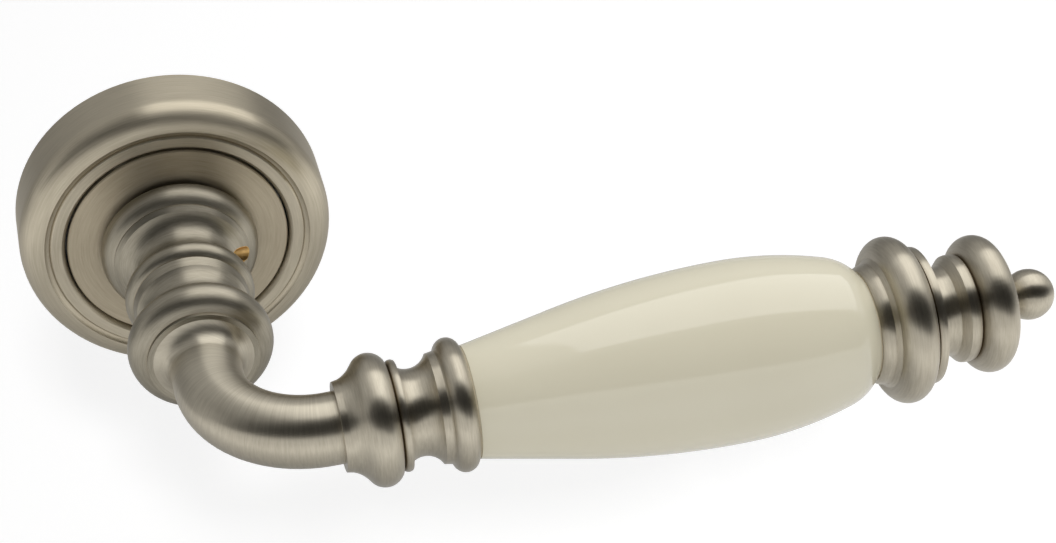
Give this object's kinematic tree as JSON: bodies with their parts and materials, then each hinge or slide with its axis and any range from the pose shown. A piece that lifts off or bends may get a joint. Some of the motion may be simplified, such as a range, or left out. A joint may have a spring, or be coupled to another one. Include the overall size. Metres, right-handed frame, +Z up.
{
  "type": "door lever handle",
  "caption": "Traditional lever door handle on a sprung round rose, with a turned neck, a bent arm and a long porcelain grip between ringed ferrules, ending in a small ball finial.",
  "frame": {"origin": "centre of the rose's back face, which lies on the door", "axes": "+Z up; +X along the lever, from the neck to the finial; the handle stands out of the door towards -Y"},
  "size_m": [0.1587, 0.0793, 0.052],
  "materials": {
    "satin_nickel": "satin nickel plate on brass, fine turned grain",
    "porcelain": "glossy cream glaze",
    "steel": "zinc-plated steel",
    "spring_steel": "oiled spring steel",
    "die_cast_zinc": "raw die-cast zinc",
    "nylon": "black nylon",
    "rubber": "black nitrile rubber",
    "natural_nylon": "natural nylon"
  },
  "bodies": {
    "rose": {"base_plate": "die_cast_zinc", "front_plate": "satin_nickel", "bearing_bush": "nylon", "cover_grip_ring": "rubber", "return_spring": "spring_steel"},
    "cover": {"rose_cover": "satin_nickel"},
    "lever": {"neck": "satin_nickel", "grub_screw": "steel", "thrust_washer": "nylon", "circlip": "spring_steel", "drive_cam": "steel", "elbow": "satin_nickel", "front_ferrule": "satin_nickel", "porcelain_grip": "porcelain", "rear_ferrule": "satin_nickel", "lock_washer": "spring_steel", "finial": "satin_nickel", "tie_rod": "steel", "front_washer": "rubber", "rear_washer": "rubber", "front_sleeve": "natural_nylon", "rear_sleeve": "natural_nylon"}
  },
  "joints": [
    {"name": "lever_turn", "type": "hinge", "parent": "rose", "child": "lever", "pos_m": [0, 0, 0], "axis": [0, 1, 0], "range_deg": [-40, 40], "stiffness_Nm_per_rad": 1.2, "springref_deg": -5.73, "deforming": ["return_spring"]},
    {"name": "cover_slide", "type": "slide", "parent": "rose", "child": "cover", "axis": [0, -1, 0], "range_m": [0, 0.018]}
  ]
}
